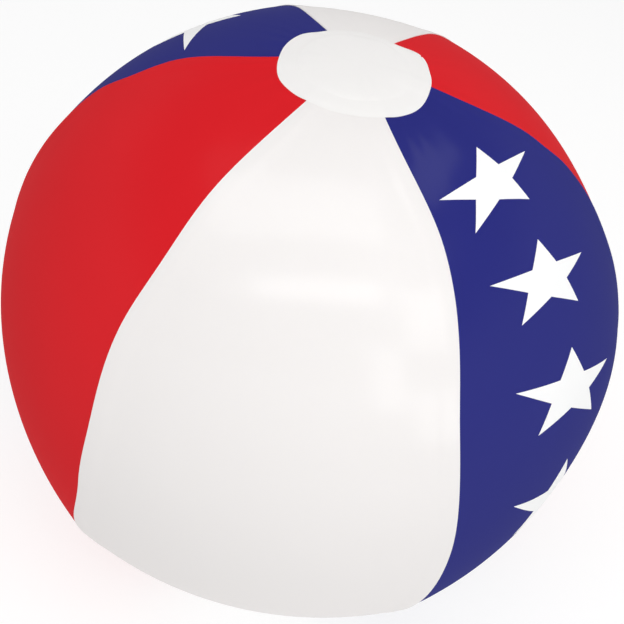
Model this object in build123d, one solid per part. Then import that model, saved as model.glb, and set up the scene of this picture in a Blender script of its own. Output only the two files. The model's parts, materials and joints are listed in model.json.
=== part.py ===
from build123d import *
import math
import os

# Inflatable beach ball, millimetres.
# Origin: centre of the ball.  +Z: along the pole axis, through the middles of both end discs.
# The white front panel is centred on -Y and the white back panel, which carries the valve, on +Y.

# Driving dimensions of the inflated ball
BALL_RADIUS = 150.0  # centre to the middle of a panel, at the equator
POLE_RATIO = 0.977  # pole height over BALL_RADIUS: the ball is a little flat at its ends
PANEL_BULGE = 0.265  # how much flatter than the ball a panel is across its width, 0 is a plain globe
SHOULDER = 0.011  # extra swell half way between the equator and a pole
PANEL_COUNT = 6
HALF_PANEL = math.pi / PANEL_COUNT
FILM = 0.30  # vinyl film thickness

# End discs, lapped over the tips of the panels
DISC_RADIUS = 31.6
DISC_LAP = 6.0  # width of the ring where disc and panels are welded
LAP_GAP = 0.02  # left between lapped films, so that their solids don't share space
DISC_STEPS = 6

# Valve: one soft moulding, in a hole of the white back panel.  Heights are along the valve's axis:
# 0 is the film's outer face and minus is inwards.
VALVE_LATITUDE = math.radians(30)
HOLE_RADIUS = 12.3  # hole through the film
FLANGE_INNER = 11.8
FLANGE_OUTER = 18.0
FLANGE_THICK = 0.8
WEB_THICK = 0.5
NECK_RADIUS = 5.5
NECK_RIM = -1.25
NECK_FOOT = -15.0
COLLAR_RADIUS = 6.6
COLLAR_TOP = -8.6
COLLAR_THICK = 1.2
SEAT_RADIUS = 3.6  # bore that the plug closes
SEAT_FLOOR = -6.5
MOUTH_CHAMFER = 0.6
NOZZLE_RADIUS = 3.0  # bore that a pump's nozzle fits
JOIN_GAP = 0.10  # left where soft pieces of the moulding run into each other
BORE_REACH = 8.0  # half length of the tools that cut through the curved film

# Plug and its strap
PLUG_GAP = 0.10
PLUG_HEAD_RADIUS = 6.3
PLUG_HEAD_THICK = 0.95
PLUG_SHANK_ROOT = 3.3
PLUG_SHANK_TIP = 2.9
PLUG_SHANK_LENGTH = 4.3
PLUG_ROUNDING = 0.25
HINGE_OUT = 8.0  # strap's bend line, from the valve's axis
STRAP_FOOT = -4.9
STRAP_WIDTH = 4.0
STRAP_THICK = 0.7

# Check flap over the inner end of the neck
FLAP_RADIUS = 5.2
FLAP_THICK = 0.6
FLAP_GAP = 0.10
FLAP_TAB_OUT = 6.4  # the tab that the flap hangs from ends just outside the neck
FLAP_TAB_LENGTH = 2.2
FLAP_TAB_WIDTH = 3.0

LATITUDE_STEPS = 24
AZIMUTH_STEPS = 8

PANELS = [
    ("panel_white_front", -90),
    ("panel_blue_right", -30),
    ("panel_red_right", 30),
    ("panel_white_back", 90),
    ("panel_blue_left", 150),
    ("panel_red_left", -150),
]


def swell(latitude):
    """Share by which the ball stands out from a plain ellipsoid at a latitude."""
    return 1 + SHOULDER * math.sin(2 * latitude) ** 2


def panel_radius(off_centre):
    """Equatorial radius at an angle from the panel's centre line: an arc flatter than the ball's own."""
    reach = math.sqrt((1 + PANEL_BULGE) ** 2 - (PANEL_BULGE * math.sin(off_centre)) ** 2)
    return BALL_RADIUS * (reach - PANEL_BULGE * math.cos(off_centre))


def ball_point(latitude, azimuth, off_centre, scale=1.0):
    """Point of the outer surface; scale below 1 gives the same point of a face further in."""
    out = scale * swell(latitude)
    flat = panel_radius(off_centre) * math.cos(latitude) * out
    height = POLE_RATIO * BALL_RADIUS * math.sin(latitude) * out
    return Vector(flat * math.cos(azimuth), flat * math.sin(azimuth), height)


# The panels reach under the discs by the lap
TIP_LATITUDE = math.acos((DISC_RADIUS - DISC_LAP) / BALL_RADIUS)


def skin(centre, scale):
    """Smooth face over one whole panel."""
    rows = []
    for i in range(LATITUDE_STEPS + 1):
        latitude = TIP_LATITUDE * (2 * i / LATITUDE_STEPS - 1)
        row = []
        for j in range(AZIMUTH_STEPS + 1):
            off = HALF_PANEL * (2 * j / AZIMUTH_STEPS - 1)
            row.append(ball_point(latitude, centre + off, off, scale))
        rows.append(row)
    return Face.make_surface_from_array_of_points(rows, tol=0.002, min_deg=3, max_deg=5)


def panel_layer(centre, outer_depth, inner_depth):
    """Closed solid between two depths below a panel's outer face, cut square at its seams."""
    faces = [skin(centre, 1 - depth / BALL_RADIUS) for depth in (outer_depth, inner_depth)]
    outer, inner = (face.edges() for face in faces)
    for edge in outer:
        partner = min(inner, key=lambda other: (other.center() - edge.center()).length)
        faces.append(Face.make_surface_from_curves(edge, partner))
    return Solid(Shell(faces))


def valve_frame():
    """Plane on the valve's hole: Z outwards along the valve's axis, X towards the hinge of the strap."""
    latitude, north, east = VALVE_LATITUDE, 1e-4, math.radians(90)
    here = ball_point(latitude, east, 0)
    along = (ball_point(latitude + north, east, 0) - ball_point(latitude - north, east, 0)).normalized()
    outward = Vector(1, 0, 0).cross(along).normalized()
    if outward.dot(here) < 0:
        outward = -outward
    return Plane(origin=here, x_dir=-along, z_dir=outward)


VALVE = valve_frame()


def turned(points):
    """Solid of revolution about the valve's axis from (radius, height) corners."""
    outline = Polyline(*[(radius, 0, height) for radius, height in points], close=True)
    return revolve(make_face(outline), Axis.Z, 360)


def rod(radius, low, high):
    """Plain cylinder about the valve's axis between two heights."""
    return Pos(0, 0, low) * Cylinder(radius, high - low, align=(Align.CENTER, Align.CENTER, Align.MIN))


def end_disc(side):
    """Thin cap over the panel tips, resting on the seams; side is +1 for the top and -1 for the bottom."""
    seam_radius = panel_radius(HALF_PANEL)
    rim_latitude = math.acos(DISC_RADIUS / seam_radius)
    under = []
    for i in range(DISC_STEPS + 1):
        latitude = rim_latitude + (math.pi / 2 - rim_latitude) * i / DISC_STEPS
        flat = seam_radius * math.cos(latitude) * swell(latitude)
        under.append((flat, POLE_RATIO * BALL_RADIUS * math.sin(latitude) * swell(latitude) + LAP_GAP))
    low = [Vector(flat, 0, side * height) for flat, height in under]
    high = [Vector(flat, 0, side * (height + FILM)) for flat, height in under]
    outline = Spline(*low) + Line(low[-1], high[-1]) + Spline(*reversed(high)) + Line(high[0], low[0])
    return revolve(make_face(outline), Axis.Z, 360)


def valve_flange():
    """Flange ring, welded to the inside of the film around the hole."""
    layer = panel_layer(math.radians(90), FILM + LAP_GAP, FILM + LAP_GAP + FLANGE_THICK)
    ring = rod(FLANGE_OUTER, -BORE_REACH, BORE_REACH) - rod(FLANGE_INNER, -BORE_REACH, BORE_REACH)
    return layer & VALVE * ring


def valve_web():
    """Flexible web between the flange and the neck, folded inwards with the neck pushed home."""
    outer = FLANGE_INNER - JOIN_GAP / 2
    inner = COLLAR_RADIUS + JOIN_GAP
    top = -(FILM + LAP_GAP) - JOIN_GAP
    foot = COLLAR_TOP - COLLAR_THICK
    return VALVE * turned([
        (outer, top),
        (outer, top - FLANGE_THICK + JOIN_GAP),
        (inner, foot),
        (inner, foot + 2 * WEB_THICK),
        (outer - WEB_THICK, top),
    ])


def valve_neck():
    """Neck tube with its collar, the plug's seat, and the bore for a pump's nozzle."""
    body = turned([
        (NOZZLE_RADIUS, NECK_FOOT),
        (NECK_RADIUS, NECK_FOOT),
        (NECK_RADIUS, COLLAR_TOP - COLLAR_THICK),
        (COLLAR_RADIUS, COLLAR_TOP - COLLAR_THICK),
        (COLLAR_RADIUS, COLLAR_TOP),
        (NECK_RADIUS, COLLAR_TOP),
        (NECK_RADIUS, NECK_RIM),
        (SEAT_RADIUS + MOUTH_CHAMFER, NECK_RIM),
        (SEAT_RADIUS, NECK_RIM - MOUTH_CHAMFER),
        (SEAT_RADIUS, SEAT_FLOOR),
        (NOZZLE_RADIUS, SEAT_FLOOR),
    ])
    return VALVE * body


def valve_plug():
    """Plug: a flat head over the neck's rim and a tapered shank in its seat."""
    under = NECK_RIM + PLUG_GAP
    top = under + PLUG_HEAD_THICK
    tip = under - PLUG_SHANK_LENGTH
    body = turned([
        (0, tip),
        (PLUG_SHANK_TIP - PLUG_ROUNDING, tip),
        (PLUG_SHANK_TIP, tip + PLUG_ROUNDING),
        (PLUG_SHANK_ROOT, under),
        (PLUG_HEAD_RADIUS, under),
        (PLUG_HEAD_RADIUS, top - PLUG_ROUNDING),
        (PLUG_HEAD_RADIUS - PLUG_ROUNDING, top),
        (0, top),
    ])
    return VALVE * body


def plug_strap():
    """Strap that ties the plug to the neck, bent round its bend line beside the neck."""
    under = NECK_RIM + PLUG_GAP
    far = HINGE_OUT + STRAP_THICK / 2
    near = HINGE_OUT - STRAP_THICK / 2
    outline = Polyline(
        (NECK_RADIUS + JOIN_GAP, 0, STRAP_FOOT),
        (far, 0, STRAP_FOOT),
        (far, 0, under + STRAP_THICK),
        (PLUG_HEAD_RADIUS + JOIN_GAP, 0, under + STRAP_THICK),
        (PLUG_HEAD_RADIUS + JOIN_GAP, 0, under),
        (near, 0, under),
        (near, 0, STRAP_FOOT + STRAP_THICK),
        (NECK_RADIUS + JOIN_GAP, 0, STRAP_FOOT + STRAP_THICK),
        close=True,
    )
    return VALVE * extrude(make_face(outline), STRAP_WIDTH / 2, dir=(0, 1, 0), both=True)


def check_flap():
    """Round flap that air pressure closes against the foot of the neck, with the tab it hangs from."""
    top = NECK_FOOT - FLAP_GAP
    disc = rod(FLAP_RADIUS, top - FLAP_THICK, top)
    middle = (FLAP_TAB_OUT - FLAP_TAB_LENGTH / 2, 0, top - FLAP_THICK / 2)
    tab = Pos(*middle) * Box(FLAP_TAB_LENGTH, FLAP_TAB_WIDTH, FLAP_THICK)
    return VALVE * (disc + tab)


def white_back_panel():
    """The panel with the valve's hole."""
    return panel_layer(math.radians(90), 0, FILM) - VALVE * rod(HOLE_RADIUS, -BORE_REACH, BORE_REACH)


def build():
    """Every sub-part, by node name."""
    parts = {}
    for name, degrees in PANELS:
        if name == "panel_white_back":
            parts[name] = white_back_panel()
        else:
            parts[name] = panel_layer(math.radians(degrees), 0, FILM)
    parts["end_disc_top"] = end_disc(1)
    parts["end_disc_bottom"] = end_disc(-1)
    parts["valve_flange"] = valve_flange()
    parts["valve_web"] = valve_web()
    parts["valve_neck"] = valve_neck()
    parts["check_flap"] = check_flap()
    parts["valve_plug"] = valve_plug()
    parts["plug_strap"] = plug_strap()
    return parts


os.makedirs("parts", exist_ok=True)
for node, shape in build().items():
    export_step(shape, f"parts/{node}.step")
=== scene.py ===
import json
import math

import bmesh
import bpy
import numpy as np
from mathutils import Matrix, Vector


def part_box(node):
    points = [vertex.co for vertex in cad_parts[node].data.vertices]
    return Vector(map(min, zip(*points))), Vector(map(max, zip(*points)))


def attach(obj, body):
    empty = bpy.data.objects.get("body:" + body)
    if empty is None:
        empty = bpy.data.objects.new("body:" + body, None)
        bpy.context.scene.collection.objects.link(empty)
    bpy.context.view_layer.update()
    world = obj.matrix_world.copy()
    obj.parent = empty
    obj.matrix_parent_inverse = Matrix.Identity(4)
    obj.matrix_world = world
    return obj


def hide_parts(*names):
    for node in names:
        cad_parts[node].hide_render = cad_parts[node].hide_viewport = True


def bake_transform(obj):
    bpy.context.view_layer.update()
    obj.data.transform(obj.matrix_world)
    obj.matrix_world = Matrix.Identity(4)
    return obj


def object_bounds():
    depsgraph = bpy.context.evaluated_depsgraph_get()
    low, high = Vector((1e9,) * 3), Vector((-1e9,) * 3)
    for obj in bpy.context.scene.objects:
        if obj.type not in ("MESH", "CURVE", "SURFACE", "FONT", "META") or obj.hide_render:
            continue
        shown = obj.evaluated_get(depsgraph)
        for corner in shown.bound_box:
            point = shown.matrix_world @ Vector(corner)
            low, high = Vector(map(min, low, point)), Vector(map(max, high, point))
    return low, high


# Inflatable beach ball, in metres, in the row frame: centre of the ball at the origin, +Z along the
# pole axis, white front panel on -Y, white back panel with the valve on +Y.

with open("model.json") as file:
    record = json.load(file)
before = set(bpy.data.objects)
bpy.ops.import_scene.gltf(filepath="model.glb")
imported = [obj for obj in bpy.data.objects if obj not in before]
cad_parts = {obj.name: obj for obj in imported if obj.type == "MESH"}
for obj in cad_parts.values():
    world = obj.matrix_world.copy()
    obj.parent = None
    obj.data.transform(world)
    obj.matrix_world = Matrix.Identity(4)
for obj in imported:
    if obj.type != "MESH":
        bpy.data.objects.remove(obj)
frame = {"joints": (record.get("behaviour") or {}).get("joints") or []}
cad_low, cad_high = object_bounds()
joints = {joint["name"]: joint for joint in frame["joints"]}

MM = 0.001

# ---------------------------------------------------------------------------------------------
# Shape of the inflated ball
# ---------------------------------------------------------------------------------------------

BALL_RADIUS = -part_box("panel_white_front")[0].y  # centre to the middle of a panel, at the equator
FILM = 0.3 * MM
POLE_RATIO = 0.977  # pole height over BALL_RADIUS
PANEL_BULGE = 0.265  # how much flatter than the ball a panel is across its width
SHOULDER = 0.011  # extra swell half way between the equator and a pole
DISC_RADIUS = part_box("end_disc_top")[1].x
DISC_LAP = 8 * MM
HALF_PANEL = math.radians(30)
TIP_LATITUDE = math.acos((DISC_RADIUS - DISC_LAP) / BALL_RADIUS)

# Seams by their azimuth, in degrees, with how they wander off it: (latitude, drift) turning points
# of the drift, in degrees, counted towards the larger azimuth.
SEAM_WANDER = {
    -120: ((-52, 0.0), (-17, -3.0), (6, 0.5), (17, 0.7), (36, -0.7), (47, -0.1), (58, -0.6), (78, 1.6)),
    -60: ((-40, 0.0), (6, 0.4), (31, -0.7), (57, 2.0), (78, -2.2)),
    0: ((-40, 0.0), (10, 0.0), (30, 3.5), (42, 6.0), (50, 5.6), (58, 3.3), (76, -2.7)),
    60: ((-40, 0.0), (30, -0.5), (60, 3.6), (78, 1.2)),
    120: ((-40, 0.0), (30, 0.5), (60, -2.4), (78, 1.4)),
    180: ((-40, 0.0), (20, 0.5), (34, -0.3), (46, -2.0), (54, -0.1), (62, -1.3), (78, 4.8)),
}
# Which side of a seam laps over the other: 1 is the side of the larger azimuth
UPPER_SIDE = {-120: 1, -60: -1, 0: -1, 60: 1, 120: -1, 180: 1}

# name, CAD node, azimuth of the centre line, colour
PANELS = [
    ("vinyl_white_front", "panel_white_front", -90, "white"),
    ("vinyl_blue_right", "panel_blue_right", -30, "blue"),
    ("vinyl_red_right", "panel_red_right", 30, "red"),
    ("vinyl_white_back", "panel_white_back", 90, "white"),
    ("vinyl_blue_left", "panel_blue_left", 150, "blue"),
    ("vinyl_red_left", "panel_red_left", -150, "red"),
]

# Where the inflated ball is a little full or slack: latitude, azimuth and breadth in degrees, and
# height in millimetres
UNEVEN = [(16, -14, 16, 1.7), (36, 2, 20, -2.8), (28, -178, 20, -1.5)]

WELD = 4.5 * MM  # width of the lap that two panels are welded over
WELD_FADE = 5.0 * MM  # over which the upper film comes down to the ball's surface
LAP_GAP = 0.02 * MM
SEAM_CREASE = 0.10 * MM  # height of the small creases beside the seams and beside the discs
DISC_CREASE = 0.20 * MM


def smooth(x):
    """0 below 0, 1 above 1, and a smooth step between."""
    t = np.clip(x, 0.0, 1.0)
    return t * t * (3 - 2 * t)


def eased(table, x):
    """Value at x that eases from one turning point of a table to the next."""
    stops, values = np.array(table).T
    x = np.clip(x, stops[0], stops[-1])
    step = np.clip(np.searchsorted(stops, x, side="right") - 1, 0, len(stops) - 2)
    share = smooth((x - stops[step]) / (stops[step + 1] - stops[step]))
    return values[step] + (values[step + 1] - values[step]) * share


def swell(latitude):
    """Radius at a latitude over the plain globe's, fuller half way to the poles."""
    return 1 + SHOULDER * np.sin(2 * latitude) ** 2


def panel_radius(off_centre):
    """Equatorial radius at an angle from a panel's centre line."""
    reach = np.sqrt((1 + PANEL_BULGE) ** 2 - (PANEL_BULGE * np.sin(off_centre)) ** 2)
    return BALL_RADIUS * (reach - PANEL_BULGE * np.cos(off_centre))


def seam_name(degrees):
    """Key of a seam in the tables, from its azimuth."""
    return (degrees + 179) % 360 - 179


def seam_azimuth(degrees, latitude):
    """Azimuth of a seam at a latitude, in radians."""
    return np.radians(degrees + eased(SEAM_WANDER[seam_name(degrees)], np.degrees(latitude)))


def direction(latitude, azimuth):
    """Unit vector towards a latitude and an azimuth."""
    return np.array([math.cos(latitude) * math.cos(azimuth), math.cos(latitude) * math.sin(azimuth),
                     math.sin(latitude)])


def ball_surface(latitude, azimuth, off_centre, lift=0.0):
    """Point of the ball's surface; off_centre runs from -HALF_PANEL to HALF_PANEL across a panel."""
    out = swell(latitude)
    radius = panel_radius(off_centre)
    flat = radius * np.cos(latitude) * out
    height = POLE_RATIO * BALL_RADIUS * np.sin(latitude) * out
    points = np.stack([flat * np.cos(azimuth), flat * np.sin(azimuth), height], axis=-1)
    outward = points / np.linalg.norm(points, axis=-1, keepdims=True)
    for north, east, breadth, rise in UNEVEN:
        middle = direction(math.radians(north), math.radians(east))
        away = np.degrees(np.arccos(np.clip(outward @ middle, -1, 1))) / breadth
        lift = lift + rise * MM * np.exp(-away ** 2)
    return points + outward * np.asarray(lift)[..., None]


def puckers(latitude, azimuth, seam_distance):
    """Height of the small creases that a taut film has beside its welds."""
    from_disc = np.abs(np.abs(latitude) - TIP_LATITUDE) * BALL_RADIUS
    along = latitude * BALL_RADIUS
    seam_wave = np.sin(along / (5.3 * MM) + 2.1 * np.sin(along / (17 * MM) + 5 * azimuth))
    disc_wave = np.sin(31 * azimuth + 1.7 * np.sin(7 * azimuth + 1.0))
    at_seam = np.exp(-seam_distance / (7 * MM)) * smooth((seam_distance - WELD) / WELD)
    at_disc = np.exp(-from_disc / (16 * MM)) * smooth((from_disc - 6 * MM) / (5 * MM))
    return SEAM_CREASE * seam_wave * at_seam + DISC_CREASE * disc_wave * at_disc


def seams_of(centre, latitude):
    """Azimuth of the middle between a panel's two seams, and half the angle between them."""
    left = seam_azimuth(centre - 30, latitude)
    right = seam_azimuth(centre + 30, latitude)
    return (left + right) / 2, (right - left) / 2


def levels_of(centre):
    """1 where the panel laps over its neighbour and 0 where it runs under it: left seam, right seam."""
    left = UPPER_SIDE[seam_name(centre - 30)] == 1
    right = UPPER_SIDE[seam_name(centre + 30)] == -1
    return int(left), int(right)


def panel_point(centre, latitude, across, lift=0.0):
    """Points of a panel's outer face.  across is -1 at the left seam and 1 at the right one; beyond
    those the film runs on under its neighbour."""
    middle, half = seams_of(centre, latitude)
    azimuth = middle + half * across
    arc = BALL_RADIUS * np.cos(latitude) * half
    seam_distance = (1 - np.abs(across)) * arc
    left_level, right_level = levels_of(centre)
    level = np.where(across < 0, left_level, right_level)
    rise = level * FILM * (1 - smooth((seam_distance - WELD) / WELD_FADE))
    rise = rise - LAP_GAP * smooth(-seam_distance / LAP_GAP)
    rise = rise + puckers(latitude, azimuth, np.abs(seam_distance)) + lift
    mirrored = 1 - np.abs(np.abs(across) - 1)
    off_centre = np.where(np.abs(across) > 1, mirrored, across) * HALF_PANEL
    return ball_surface(latitude, azimuth, off_centre, rise)


def on_panel(centre, ray, lift):
    """Points of a panel's outer face in the directions of the rays, lifted off it."""
    azimuth = np.arctan2(ray[:, 1], ray[:, 0])
    azimuth = np.radians(centre) + (azimuth - np.radians(centre) + math.pi) % (2 * math.pi) - math.pi
    flat = np.hypot(ray[:, 0], ray[:, 1]) * BALL_RADIUS
    across = np.zeros(len(ray))
    for _ in range(4):
        radius = panel_radius(np.clip(across, -1, 1) * HALF_PANEL)
        latitude = np.arctan2(ray[:, 2] / POLE_RATIO, flat / radius)
        middle, half = seams_of(centre, latitude)
        across = (azimuth - middle) / half
    return panel_point(centre, latitude, across, lift)


# ---------------------------------------------------------------------------------------------
# Mesh helpers
# ---------------------------------------------------------------------------------------------

def new_object(name, points, faces, material):
    """Mesh object with smooth shading and its normals outwards."""
    mesh = bpy.data.meshes.new(name)
    mesh.from_pydata([tuple(p) for p in points], [], faces)
    mesh.validate()
    mesh.polygons.foreach_set("use_smooth", [True] * len(mesh.polygons))
    mesh.materials.append(material)
    piece = bpy.data.objects.new(name, mesh)
    bpy.context.scene.collection.objects.link(piece)
    return piece


def sheet_solid(name, outer, inner, material, hole=None):
    """Closed solid between two grids of points.  hole is a (row, column) block of cells left out."""
    rows, columns = outer.shape[:2]
    count = rows * columns
    points = np.concatenate([outer.reshape(-1, 3), inner.reshape(-1, 3)])
    cells = np.ones((rows - 1, columns - 1), bool)
    if hole:
        (row_low, row_high), (column_low, column_high) = hole
        cells[row_low:row_high, column_low:column_high] = False
    faces, edges = [], {}
    for i, j in np.argwhere(cells):
        a = int(i * columns + j)
        b, c, d = a + 1, a + columns + 1, a + columns
        faces.append((a, b, c, d))
        faces.append((count + a, count + d, count + c, count + b))
        for edge in ((a, b), (b, c), (c, d), (d, a)):
            if edge[::-1] in edges:
                del edges[edge[::-1]]
            else:
                edges[edge] = True
    for start, end in edges:
        faces.append((end, start, count + start, count + end))
    used = sorted({v for face in faces for v in face})
    place = {old: new for new, old in enumerate(used)}
    faces = [tuple(place[v] for v in face) for face in faces]
    piece = new_object(name, points[used], faces, material)
    sharpen(piece)
    return piece


def sharpen(piece, degrees=40):
    """Marks the sharp edges, so that cut edges of the film stay crisp."""
    piece.data.set_sharp_from_angle(angle=math.radians(degrees))


def finish_piece(piece, body, slot, *nodes):
    """Rides on its body and stands for the CAD nodes; slot is not used."""
    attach(piece, body)
    if nodes:
        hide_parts(*nodes)
    return piece


# ---------------------------------------------------------------------------------------------
# Materials
# ---------------------------------------------------------------------------------------------

def vinyl(name, colour, gloss=0.16, dirt=0.03, shine=0.09):
    """Vinyl under a thin gloss: faint cloudiness, uneven roughness below the gloss, and orange peel."""
    material = bpy.data.materials.new(name)
    material.use_nodes = True
    nodes, links = material.node_tree.nodes, material.node_tree.links
    shader = nodes["Principled BSDF"]
    shader.inputs["Specular IOR Level"].default_value = 0
    shader.inputs["Roughness"].default_value = 0.6
    shader.inputs["Coat Weight"].default_value = shine
    shader.inputs["Coat IOR"].default_value = 2.4
    shader.inputs["Coat Roughness"].default_value = gloss
    place = nodes.new("ShaderNodeTexCoord")

    def noise(scale, detail, roughness=0.5):
        node = nodes.new("ShaderNodeTexNoise")
        node.inputs["Scale"].default_value = scale
        node.inputs["Detail"].default_value = detail
        node.inputs["Roughness"].default_value = roughness
        links.new(place.outputs["Object"], node.inputs["Vector"])
        return node.outputs["Fac"]

    def spread(source, low, high):
        node = nodes.new("ShaderNodeMapRange")
        node.inputs["From Min"].default_value = 0.3
        node.inputs["From Max"].default_value = 0.7
        node.inputs["To Min"].default_value = low
        node.inputs["To Max"].default_value = high
        links.new(source, node.inputs["Value"])
        return node.outputs["Result"]

    cloud = nodes.new("ShaderNodeMix")
    cloud.data_type = "RGBA"
    cloud.inputs["A"].default_value = (*[c * (1 - dirt) for c in colour], 1)
    cloud.inputs["B"].default_value = (*colour, 1)
    links.new(spread(noise(9, 3), 0, 1), cloud.inputs["Factor"])
    links.new(cloud.outputs["Result"], shader.inputs["Base Color"])
    links.new(spread(noise(22, 4, 0.6), 0.55, 0.7), shader.inputs["Roughness"])

    peel = nodes.new("ShaderNodeBump")
    peel.inputs["Strength"].default_value = 0.06
    peel.inputs["Distance"].default_value = 0.3 * MM
    links.new(noise(420, 2), peel.inputs["Height"])
    links.new(peel.outputs["Normal"], shader.inputs["Normal"])
    links.new(peel.outputs["Normal"], shader.inputs["Coat Normal"])
    return material


RED = (0.67, 0.016, 0.022)
BLUE = (0.024, 0.027, 0.19)
WHITE = (0.815, 0.79, 0.78)
DISC_WHITE = (0.845, 0.83, 0.82)
INK_WHITE = (0.9, 0.9, 0.9)
MILKY = (0.74, 0.77, 0.78)
materials = {
    "white": vinyl("white_vinyl_film", WHITE, gloss=0.13, dirt=0.012),
    "blue": vinyl("blue_vinyl_film", BLUE, dirt=0.05, shine=0.05),
    "red": vinyl("red_vinyl_film", RED, dirt=0.05, shine=0.04),
    "star": vinyl("white_star_ink", INK_WHITE, gloss=0.2, dirt=0.01, shine=0.05),
    "disc": vinyl("white_disc_film", DISC_WHITE, gloss=0.13, dirt=0.012),
    "valve": vinyl("milky_valve_vinyl", MILKY, gloss=0.25, shine=0.14),
}

# ---------------------------------------------------------------------------------------------
# Valve's own frame: Z outwards along its axis, X towards the hinge of the strap
# ---------------------------------------------------------------------------------------------

VALVE_AXIS = Vector(joints["valve_pull"]["axis"]).normalized()
SIDE = Vector((-1, 0, 0))
DOWN = SIDE.cross(VALVE_AXIS).normalized()
VALVE_LATITUDE = math.radians(30)
VALVE_ORIGIN = Vector(ball_surface(VALVE_LATITUDE, math.radians(90), 0.0))
HOLE_RADIUS = 12.3 * MM


def at_valve(x, y, z):
    """Row-frame point from the valve's own coordinates."""
    return VALVE_ORIGIN + DOWN * x + SIDE * y + VALVE_AXIS * z


# ---------------------------------------------------------------------------------------------
# Panels
# ---------------------------------------------------------------------------------------------

ROWS = 121
INNER_COLUMNS = 33
# Distances from a seam at which the film's mesh has a column
SEAM_STOPS = np.array([0.0, 0.5, 2.2, 4.5, 5.5, 6.5, 7.5, 8.5, 9.5, 11.5]) * MM


def across_columns(latitude, left_level, right_level):
    """Positions across a panel at each latitude: fine beside the seams, even between them."""
    arc = BALL_RADIUS * np.cos(latitude) * HALF_PANEL
    stops = np.minimum(SEAM_STOPS[None, :], 0.92 * arc[:, None] * SEAM_STOPS / SEAM_STOPS[-1])
    edge = 1 - stops / arc[:, None]
    even = np.linspace(-1, 1, INNER_COLUMNS)[1:-1] * edge[:, -1:]
    parts = [-edge, even, edge[:, ::-1]]
    under = (1 + np.array([WELD, LAP_GAP]) / arc[:, None])
    if not left_level:
        parts.insert(0, -under)
    if not right_level:
        parts.append(under[:, ::-1])
    return np.hstack(parts)


def make_panel(name, node, centre, colour):
    """One gore of the ball, with an even thickness and, in the white back one, the valve's hole."""
    latitude = np.linspace(-TIP_LATITUDE, TIP_LATITUDE, ROWS)
    across = across_columns(latitude, *levels_of(centre))
    latitude = np.repeat(latitude[:, None], across.shape[1], axis=1)
    hole = None
    if node == "panel_white_back":
        latitude, across, hole = open_hole(latitude, across)
    outer = panel_point(centre, latitude, across)
    inner = panel_point(centre, latitude, across, -FILM)
    piece = sheet_solid(name, outer, inner, materials[colour], hole)
    return finish_piece(piece, "shell", colour + "_vinyl", node)


def open_hole(latitude, across):
    """Bends the grid lines around the valve, so that a block of cells becomes a round hole."""
    row = int(np.abs(latitude[:, 0] - VALVE_LATITUDE).argmin())
    column = across.shape[1] // 2
    arc = BALL_RADIUS * np.cos(VALVE_LATITUDE) * HALF_PANEL
    row_pitch = (latitude[1, 0] - latitude[0, 0]) * BALL_RADIUS
    column_pitch = (across[row, column + 1] - across[row, column]) * arc
    half_rows = max(2, round(HOLE_RADIUS / row_pitch))
    half_columns = max(2, round(HOLE_RADIUS / column_pitch))
    i, j = np.meshgrid(np.arange(latitude.shape[0]), np.arange(latitude.shape[1]), indexing="ij")
    a, b = (j - column) / half_columns, (i - row) / half_rows
    ring = np.maximum(np.abs(a), np.abs(b))
    angle = np.arctan2(b, a)
    pull = 1 - smooth((ring - 1) / 1.6)
    radius = HOLE_RADIUS * ring
    new_latitude = VALVE_LATITUDE + radius * np.sin(angle) / BALL_RADIUS
    new_across = radius * np.cos(angle) / arc
    latitude = latitude + (new_latitude - latitude) * pull
    across = across + (new_across - across) * pull
    block = ((row - half_rows, row + half_rows), (column - half_columns, column + half_columns))
    return latitude, across, block


for entry in PANELS:
    make_panel(*entry)

# ---------------------------------------------------------------------------------------------
# End discs
# ---------------------------------------------------------------------------------------------

# Rings of the discs' mesh, closest together over the weld's inner edge and the rim
DISC_RINGS = np.array([0, 2, 4.5, 8, 12, 16, 20, 22.5, 23.2, 23.9, 24.6, 26, 28, 29.5, 30.5, 31.2, 31.6])
DISC_RINGS = DISC_RINGS / DISC_RINGS[-1]
DISC_SPOKES = 144
# The discs are not cut quite round: azimuth in degrees, radius of the edge over its mean
DISC_EDGE = ((-180, 0.965), (-145, 1.035), (-90, 1.0), (-40, 1.045), (-5, 0.99), (15, 1.0), (40, 1.07),
             (62, 0.88), (90, 0.92), (122, 0.88), (146, 0.975), (180, 0.965))
RIM_THICK = 0.06 * MM  # the edge of a disc is pressed thin by the weld


def lap_rise(latitude, azimuth):
    """Height of the upper film's lap over the ball's surface, eased down on both sides of it."""
    rise = np.zeros_like(azimuth)
    for seam, side in UPPER_SIDE.items():
        gap = (azimuth - seam_azimuth(seam, latitude) + math.pi) % (2 * math.pi) - math.pi
        reach = side * gap * np.cos(latitude) * BALL_RADIUS
        bump = smooth(1 + reach / WELD_FADE) * (1 - smooth((reach - WELD) / WELD_FADE))
        rise = np.maximum(rise, FILM * bump)
    return rise


def near_pole(radius, azimuth, lift):
    """Points over the upper pole's region at a distance from the axis, lifted off the panels."""
    off_centre = (azimuth + HALF_PANEL) % (2 * HALF_PANEL) - HALF_PANEL
    off_centre = HALF_PANEL - np.abs(off_centre)
    latitude = np.arccos(np.clip(radius / panel_radius(off_centre), 0, 1))
    rise = lap_rise(latitude, azimuth) * smooth(radius / DISC_RADIUS)
    return ball_surface(latitude, azimuth, off_centre, rise + LAP_GAP + lift)


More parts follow.
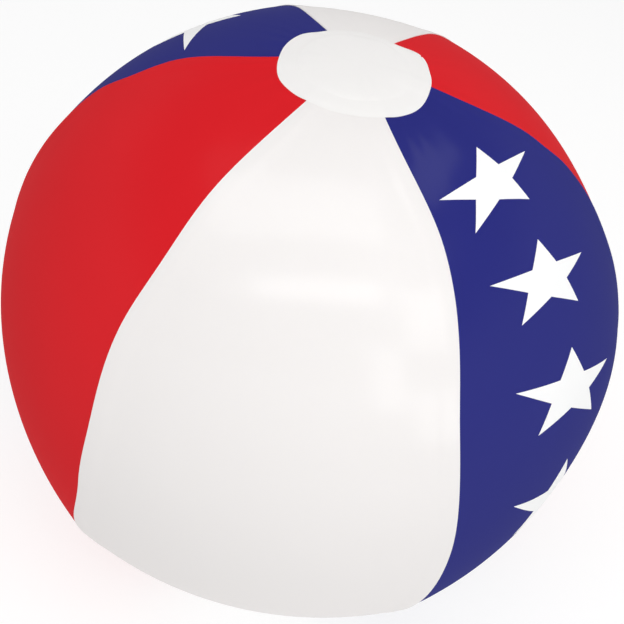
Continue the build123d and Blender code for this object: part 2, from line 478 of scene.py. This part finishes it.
def make_disc(name, node, side):
    """End disc over the panel tips; side is 1 at the upper pole and -1 at the lower one."""
    azimuth = np.arange(DISC_SPOKES) * 2 * math.pi / DISC_SPOKES
    radius, turn = np.meshgrid(DISC_RINGS * DISC_RADIUS, azimuth, indexing="ij")
    edge = eased(DISC_EDGE, (np.degrees(turn) + 180) % 360 - 180)
    thick = FILM + (RIM_THICK - FILM) * smooth((radius / DISC_RADIUS - 0.92) / 0.07)
    radius = radius * (1 + (edge - 1) * (radius / DISC_RADIUS) ** 2)
    free = smooth((DISC_RADIUS - radius - DISC_LAP) / (1.2 * MM))
    ripple = 0.08 * MM * np.sin(17 * turn + 2 * np.sin(5 * turn)) * (radius / DISC_RADIUS) ** 3
    puff = (0.25 * MM + ripple) * free
    points, faces = [], []
    rings = len(DISC_RINGS)
    for lift, flip in ((thick, False), (0.0, True)):
        grid = near_pole(radius, turn, puff + lift)
        start = len(points)
        points.append(grid[0, 0])
        points.extend(grid[1:].reshape(-1, 3))

        def index(ring, spoke):
            return start if ring == 0 else start + 1 + (ring - 1) * DISC_SPOKES + spoke % DISC_SPOKES

        for ring in range(rings - 1):
            for spoke in range(DISC_SPOKES):
                loop = [index(ring, spoke), index(ring + 1, spoke),
                        index(ring + 1, spoke + 1), index(ring, spoke + 1)]
                if ring == 0:
                    loop = loop[:3]
                faces.append(tuple(loop[::-1] if flip else loop))
    half = len(points) // 2
    last = 1 + (rings - 2) * DISC_SPOKES
    for spoke in range(DISC_SPOKES):
        a, b = last + spoke, last + (spoke + 1) % DISC_SPOKES
        faces.append((a, half + a, half + b, b))
    points = np.array(points)
    if side < 0:
        points[:, 2] *= -1
        faces = [face[::-1] for face in faces]
    piece = new_object(name, points, faces, materials["disc"])
    sharpen(piece)
    return finish_piece(piece, "shell", "disc_vinyl", node)


make_disc("vinyl_disc_top", "end_disc_top", 1)
make_disc("vinyl_disc_bottom", "end_disc_bottom", -1)

# ---------------------------------------------------------------------------------------------
# Valve: a soft moulding that is pushed home into the ball
# ---------------------------------------------------------------------------------------------

# Heights along the valve's axis: 0 is the film's outer face and minus is inwards
STRAP_WIDTH = 4.0 * MM
STRAP_THICK = 0.7 * MM
WEB_OUTER, WEB_INNER = 12.15 * MM, 6.8 * MM
WEB_TOP, WEB_FOOT = -1.15 * MM, -9.3 * MM
WEB_THICK = 0.5 * MM
FLAP_RADIUS, FLAP_TOP = 5.2 * MM, -15.1 * MM
FLAP_TAB_OUT, FLAP_TAB_HALF = 6.4 * MM, 1.5 * MM
SPOKES = 96


def rounded(corners, steps=4):
    """Outline in metres from (radius, height, rounding) corners in millimetres."""
    points = []
    count = len(corners)
    for k, (x, y, rounding) in enumerate(corners):
        here = np.array([x, y])
        if not rounding:
            points.append(here)
            continue
        before = np.array(corners[k - 1][:2]) - here
        after = np.array(corners[(k + 1) % count][:2]) - here
        start = here + before / np.linalg.norm(before) * rounding
        end = here + after / np.linalg.norm(after) * rounding
        for t in np.linspace(0, 1, steps + 1):
            points.append(start * (1 - t) ** 2 + here * 2 * t * (1 - t) + end * t ** 2)
    return np.array(points) * MM


def round_valve(radius, angle, height):
    """Row-frame points from polar coordinates about the valve's axis."""
    radius, angle, height = np.broadcast_arrays(radius, angle, height)
    points = np.array(VALVE_ORIGIN) + radius[..., None] * (
        np.cos(angle)[..., None] * np.array(DOWN) + np.sin(angle)[..., None] * np.array(SIDE))
    return points + height[..., None] * np.array(VALVE_AXIS)


def under_film(radius, angle, height):
    """Points at a height from the film's outer face, in polar coordinates about the valve's axis."""
    flat = round_valve(radius, angle, 0.0)
    return on_panel(90, flat.reshape(-1, 3), np.broadcast_to(height, flat.shape[:2]).reshape(-1))


def closed_mesh(name, grid, material):
    """Solid from a grid that closes on itself both ways; points on the axis are joined."""
    loops, spokes = grid.shape[:2]
    faces = []
    for i in range(loops):
        for j in range(spokes):
            k, m = (i + 1) % loops, (j + 1) % spokes
            faces.append((i * spokes + j, k * spokes + j, k * spokes + m, i * spokes + m))
    piece = new_object(name, grid.reshape(-1, 3), faces, material)
    shape = bmesh.new()
    shape.from_mesh(piece.data)
    bmesh.ops.remove_doubles(shape, verts=shape.verts, dist=1e-8)
    bmesh.ops.recalc_face_normals(shape, faces=shape.faces)
    shape.to_mesh(piece.data)
    shape.free()
    sharpen(piece)
    return piece


def turned(name, outline, place=round_valve):
    """Solid swept round the valve's axis from a closed outline of (radius, height) points."""
    angle = np.arange(SPOKES) * 2 * math.pi / SPOKES
    grid = place(outline[:, :1], angle[None, :], outline[:, 1:])
    return closed_mesh(name, grid.reshape(len(outline), SPOKES, 3), materials["valve"])


def along_curve(line, thick):
    """Closed outline of a strip of even thickness along a line of (x, y) points."""
    way = np.gradient(line, axis=0)
    side = np.stack([-way[:, 1], way[:, 0]], axis=1) / np.linalg.norm(way, axis=1)[:, None]
    return np.concatenate([line + side * thick / 2, (line - side * thick / 2)[::-1]])


def make_web():
    """Soft web from the ring down to the neck's collar, with room for the swung plug beside it."""
    share = np.linspace(0, 1, 33)
    line = np.stack([WEB_OUTER + (WEB_INNER - WEB_OUTER) * smooth(share),
                     WEB_TOP + (WEB_FOOT - WEB_TOP) * share], axis=1)
    web = turned("valve_fold", along_curve(line, WEB_THICK))
    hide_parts("valve_web")
    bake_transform(web)


def make_strap():
    """Thin strap looped from the neck's side up to the edge of the plug's head."""
    foot, bend, head, near = -4.55, 1.1, -0.8, 8.0
    corners = [(5.62, foot, 0), (near, foot, bend), (near, head, bend), (6.42, head, 0)]
    line = rounded(corners, 8)
    legs = [line[:1] + (line[1:2] - line[:1]) * t for t in (0, 0.33, 0.67)]
    wall = [line[9:10] + (line[10:11] - line[9:10]) * t for t in (0.25, 0.5, 0.75)]
    line = np.concatenate(legs + [line[1:10]] + wall + [line[10:]])
    edge = STRAP_WIDTH / 2
    across = np.array([-1, -0.97, -0.9, -0.5, 0, 0.5, 0.9, 0.97, 1]) * edge
    plump = np.sqrt(1 - (np.clip((np.abs(across) - 0.85 * edge) / (0.15 * edge), 0, 0.96)) ** 2)
    way = np.gradient(line, axis=0)
    side = np.stack([-way[:, 1], way[:, 0]], axis=1) / np.linalg.norm(way, axis=1)[:, None]
    outer, inner = (np.array([[at_valve(p[0] + sign * n[0] * half * STRAP_THICK / 2, y,
                                        p[1] + sign * n[1] * half * STRAP_THICK / 2)
                               for y, half in zip(across, plump)]
                              for p, n in zip(line, side)]) for sign in (1, -1))
    strap = sheet_solid("plug_tie", outer, inner, materials["valve"])
    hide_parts("plug_strap")
    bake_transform(strap)


def make_flap():
    """Thin round flap under the neck's foot, with the tab that it hangs from beyond the neck's wall."""
    bends = [12.2, 12.8, 13.4, 14.1, 16.8]
    angle = np.radians(np.sort([*np.arange(0, 360, 3.75), *bends, *[360 - bend for bend in bends]]))
    c, s = np.cos(angle), np.abs(np.sin(angle))
    tab = np.where(c > 0, ((np.abs(c) / FLAP_TAB_OUT) ** 12 + (s / FLAP_TAB_HALF) ** 12) ** (-1 / 12), 0)
    reach = np.maximum(FLAP_RADIUS, tab)
    section = np.array([(0, 0), (0.5, 0), (0.95, 0), (0.985, 0.05), (1, 0.17),
                        (1, 0.43), (0.985, 0.55), (0.95, 0.6), (0.5, 0.6), (0, 0.6)])
    grid = round_valve(section[:, :1] * reach, angle[None, :], FLAP_TOP - section[:, 1:] * MM)
    flap = closed_mesh("valve_flap", grid, materials["valve"])
    finish_piece(flap, "flap", "valve_vinyl", "check_flap")


# Sections of the round pieces: radius, height and rounding of each corner, in millimetres
NECK_OUTLINE = [
    (3.0, -15.0, 0.3), (5.5, -15.0, 0.5), (5.5, -9.8, 0.2), (6.6, -9.8, 0.25), (6.6, -8.6, 0.25),
    (5.5, -8.6, 0.4), (5.5, -1.25, 0.35), (4.2, -1.25, 0.25), (3.6, -1.85, 0.3), (3.6, -6.5, 0.1),
    (3.0, -6.5, 0.1),
]
PLUG_OUTLINE = [
    (0, -5.45, 0), (2.9, -5.45, 0.4), (3.3, -1.15, 0.1), (6.3, -1.15, 0.3), (6.3, -0.2, 0.4),
    (4.6, -0.2, 0.3), (4.3, -0.45, 0.3), (0, -0.45, 0),
]
FLANGE_OUTLINE = [(11.8, -0.32, 0.2), (18.0, -0.32, 0.1), (18.0, -1.12, 0.35), (11.8, -1.12, 0.2)]

finish_piece(turned("valve_tube", rounded(NECK_OUTLINE)), "neck", "valve_vinyl", "valve_neck")
finish_piece(turned("valve_stopper", rounded(PLUG_OUTLINE)), "plug", "valve_vinyl", "valve_plug")
valve_ring = turned("valve_ring", rounded(FLANGE_OUTLINE), under_film)
finish_piece(valve_ring, "shell", "valve_vinyl", "valve_flange")
make_flap()
make_web()
make_strap()

# ---------------------------------------------------------------------------------------------
# Printed stars on the blue panels
# ---------------------------------------------------------------------------------------------

STAR_WAIST = 0.42  # inner corners over tips
INK_TOP = 0.05 * MM
INK_FOOT = 0.01 * MM
STAR_FINENESS = 12
# For each blue panel by its azimuth, a column of stars: latitude, drift to the left of the panel's
# centre line, turn, lean of the stretch, all in degrees, radius in millimetres, and width over height
STAR_COLUMNS = {
    ("right", -30): [
        (61.7, 0.9, -11.9, 0, 22.3, 2.04),
        (45.0, 1.8, -17.0, -15, 23.6, 2.1),
        (25.7, 3.1, -18.4, -24, 27.3, 2.15),
        (-1.3, 2.3, -17.0, -38, 34.0, 2.05),
        (-26.0, 2.3, -16.0, -28, 27.4, 1.9),
        (-45.0, 1.8, -14.0, -14, 23.6, 1.9),
        (-61.0, 1.0, -12.0, 0, 20.6, 1.9),
    ],
    ("left", 150): [
        (50.2, 9.0, 28, 43, 34.5, 2.4),
        (28.5, 3.0, 30, 28, 28.6, 2.1),
        (7.5, 1.2, 28, 20, 27.0, 1.9),
        (-13.0, 1.2, 24, 16, 26.2, 1.9),
        (-34.0, 0.8, 20, 8, 25.0, 1.9),
        (-53.5, 0.3, 14, 0, 22.8, 1.9),
    ],
}


def star_corners(turn, lean, radius, stretch):
    """Ten corners of a star in its own plane, tips and waists in turn, stretched along a leaning line."""
    angle = np.radians(90 + 36 * np.arange(10) + turn)
    reach = radius * np.where(np.arange(10) % 2 == 0, 1, STAR_WAIST)
    flat = np.stack([reach * np.cos(angle), reach * np.sin(angle)], axis=1)
    c, s = math.cos(math.radians(lean)), math.sin(math.radians(lean))
    along = np.array([[c, -s], [s, c]])
    return flat @ along * np.sqrt([stretch, 1 / stretch]) @ along.T


def star_rays(flat, latitude, azimuth):
    """Directions of flat star points laid on the ball around a centre."""
    here = ball_surface(latitude, azimuth, 0.0)
    out = here / np.linalg.norm(here)
    east = np.array([-math.sin(azimuth), math.cos(azimuth), 0.0])
    north = np.cross(out, east)
    reach = np.linalg.norm(flat, axis=1)
    way = flat / np.maximum(reach, 1e-9)[:, None]
    angle = reach / BALL_RADIUS
    heading = way[:, :1] * east + way[:, 1:] * north
    return out * np.cos(angle)[:, None] + heading * np.sin(angle)[:, None]


def make_star(name, centre, latitude, drift, turn, lean, radius, stretch):
    """Thin printed star that lies on a panel."""
    corners = star_corners(turn, lean, radius * MM, stretch)
    n = STAR_FINENESS
    flat, index, faces = [], {}, []

    def vertex(point):
        key = (round(point[0] / MM, 4), round(point[1] / MM, 4))
        if key not in index:
            index[key] = len(flat)
            flat.append(point)
        return index[key]

    rim = []
    for k in range(10):
        a, b = corners[k], corners[(k + 1) % 10]
        grid = {(i, j): vertex(a * (i / n) + b * (j / n)) for i in range(n + 1) for j in range(n + 1 - i)}
        for i in range(n):
            for j in range(n - i):
                faces.append((grid[i, j], grid[i + 1, j], grid[i, j + 1]))
                if i + j < n - 1:
                    faces.append((grid[i + 1, j], grid[i + 1, j + 1], grid[i, j + 1]))
        rim.extend(grid[n - j, j] for j in range(n))
    ray = star_rays(np.array(flat), math.radians(latitude), math.radians(centre - drift))
    top, foot = on_panel(centre, ray, INK_TOP), on_panel(centre, ray, INK_FOOT)
    count = len(flat)
    faces += [tuple(count + v for v in face[::-1]) for face in faces]
    for k, start in enumerate(rim):
        end = rim[(k + 1) % len(rim)]
        faces.append((end, start, count + start, count + end))
    piece = new_object(name, np.concatenate([top, foot]), faces, materials["star"])
    sharpen(piece)
    return finish_piece(piece, "shell", "white_vinyl")


for (name, centre), column in STAR_COLUMNS.items():
    for number, star in enumerate(column, 1):
        make_star(f"star_{name}_{number}", centre, *star)

# ---------------------------------------------------------------------------------------------
# Stage, light and camera
# ---------------------------------------------------------------------------------------------

FLOOR_GLOW = 0.75
FLOOR_GREY = 0.3
FLOOR_HALF = 30.0
CAMERA_ELEVATION = math.radians(46.6)
CAMERA_AZIMUTH = math.radians(0.64)
CAMERA_ROLL = math.radians(11.3)
CAMERA_DISTANCE = 3.133 * BALL_RADIUS
CAMERA_LENS, CAMERA_SENSOR = 52.3, 36
CAMERA_SHIFT = (0.0085, -0.0036)
WORLD_FADE = (0.24, 0.62)  # where the walls' light starts and stops to dim, on the way up
CAMERA_BACK = Vector((math.sin(CAMERA_AZIMUTH) * math.cos(CAMERA_ELEVATION),
                      -math.cos(CAMERA_AZIMUTH) * math.cos(CAMERA_ELEVATION), math.sin(CAMERA_ELEVATION)))
CAMERA_AXES = CAMERA_BACK.to_track_quat("Z", "Y").to_matrix() @ Matrix.Rotation(CAMERA_ROLL, 3, "Z")


def make_floor():
    """Wide pale floor at the ball's foot that glows a little, like a lit studio table."""
    mesh = bpy.data.meshes.new("floor")
    size = FLOOR_HALF
    height = cad_low.z
    corners = [(-size, -size, height), (size, -size, height), (size, size, height), (-size, size, height)]
    mesh.from_pydata(corners, [], [(0, 1, 2, 3)])
    material = bpy.data.materials.new("pale_floor")
    material.use_nodes = True
    shader = material.node_tree.nodes["Principled BSDF"]
    shader.inputs["Base Color"].default_value = (FLOOR_GREY, FLOOR_GREY, FLOOR_GREY, 1)
    shader.inputs["Emission Color"].default_value = (1, 1, 1, 1)
    shader.inputs["Emission Strength"].default_value = FLOOR_GLOW
    shader.inputs["Roughness"].default_value = 0.9
    shader.inputs["Specular IOR Level"].default_value = 0.0
    mesh.materials.append(material)
    floor = bpy.data.objects.new("floor", mesh)
    bpy.context.scene.collection.objects.link(floor)


def make_light(name, azimuth, elevation, distance, size, energy):
    """Soft rectangular light that looks at the ball's centre and is level with the picture's edge."""
    data = bpy.data.lights.new(name, "AREA")
    data.shape = "RECTANGLE"
    data.size, data.size_y = size
    data.energy = energy
    light = bpy.data.objects.new(name, data)
    a, e = math.radians(azimuth), math.radians(elevation)
    way = Vector((math.cos(a) * math.cos(e), math.sin(a) * math.cos(e), math.sin(e)))
    light.location = way * distance
    light.rotation_mode = "QUATERNION"
    across = CAMERA_AXES.col[0]
    across = (across - way * across.dot(way)).normalized()
    light.rotation_quaternion = Matrix((across, way.cross(across), way)).transposed().to_quaternion()
    bpy.context.scene.collection.objects.link(light)


def make_world(horizon, zenith):
    """Studio walls: pale near the floor, dimmer overhead."""
    world = bpy.data.worlds.new("studio")
    bpy.context.scene.world = world
    world.use_nodes = True
    nodes, links = world.node_tree.nodes, world.node_tree.links
    background = nodes["Background"]
    background.inputs["Color"].default_value = (1, 1, 1, 1)
    way, parts, fade = (nodes.new(kind) for kind in (
        "ShaderNodeTexCoord", "ShaderNodeSeparateXYZ", "ShaderNodeMapRange"))
    fade.interpolation_type = "SMOOTHSTEP"
    for socket, value in zip(("From Min", "From Max", "To Min", "To Max"), (*WORLD_FADE, horizon, zenith)):
        fade.inputs[socket].default_value = value
    links.new(way.outputs["Generated"], parts.inputs["Vector"])
    links.new(parts.outputs["Z"], fade.inputs["Value"])
    links.new(fade.outputs["Result"], background.inputs["Strength"])


def make_camera():
    """Camera at the photograph's viewing angle."""
    data = bpy.data.cameras.new("camera")
    data.lens, data.sensor_width = CAMERA_LENS, CAMERA_SENSOR
    data.shift_x, data.shift_y = CAMERA_SHIFT
    camera = bpy.data.objects.new("camera", data)
    camera.location = CAMERA_BACK * CAMERA_DISTANCE
    camera.rotation_mode = "QUATERNION"
    camera.rotation_quaternion = CAMERA_AXES.to_quaternion()
    bpy.context.scene.collection.objects.link(camera)
    bpy.context.scene.camera = camera


make_floor()
# name, azimuth and elevation in degrees, distance, width and height in metres, and power in watts
make_light("window_high", -45, 45, 1.3, (0.22, 0.42), 1.0)
make_light("window_middle", -62, 28, 1.3, (0.2, 0.5), 1.0)
make_light("window_low", -50, 13, 1.3, (0.26, 0.42), 1.0)
make_light("window_back", 39, 56, 1.3, (0.25, 0.45), 0.9)
make_light("key", -30, 55, 1.6, (1.0, 1.0), 2.2)
make_light("front", -87, 56.5, 1.4, (0.85, 0.18), 2.0)
make_light("overhead", -135, 80, 1.4, (1.1, 0.5), 4.8)
make_light("ceiling", -135, 80, 2.2, (2.6, 2.6), 20.0)
make_world(0.8, 0.06)
make_camera()
bpy.context.scene.view_settings.view_transform = "Standard"
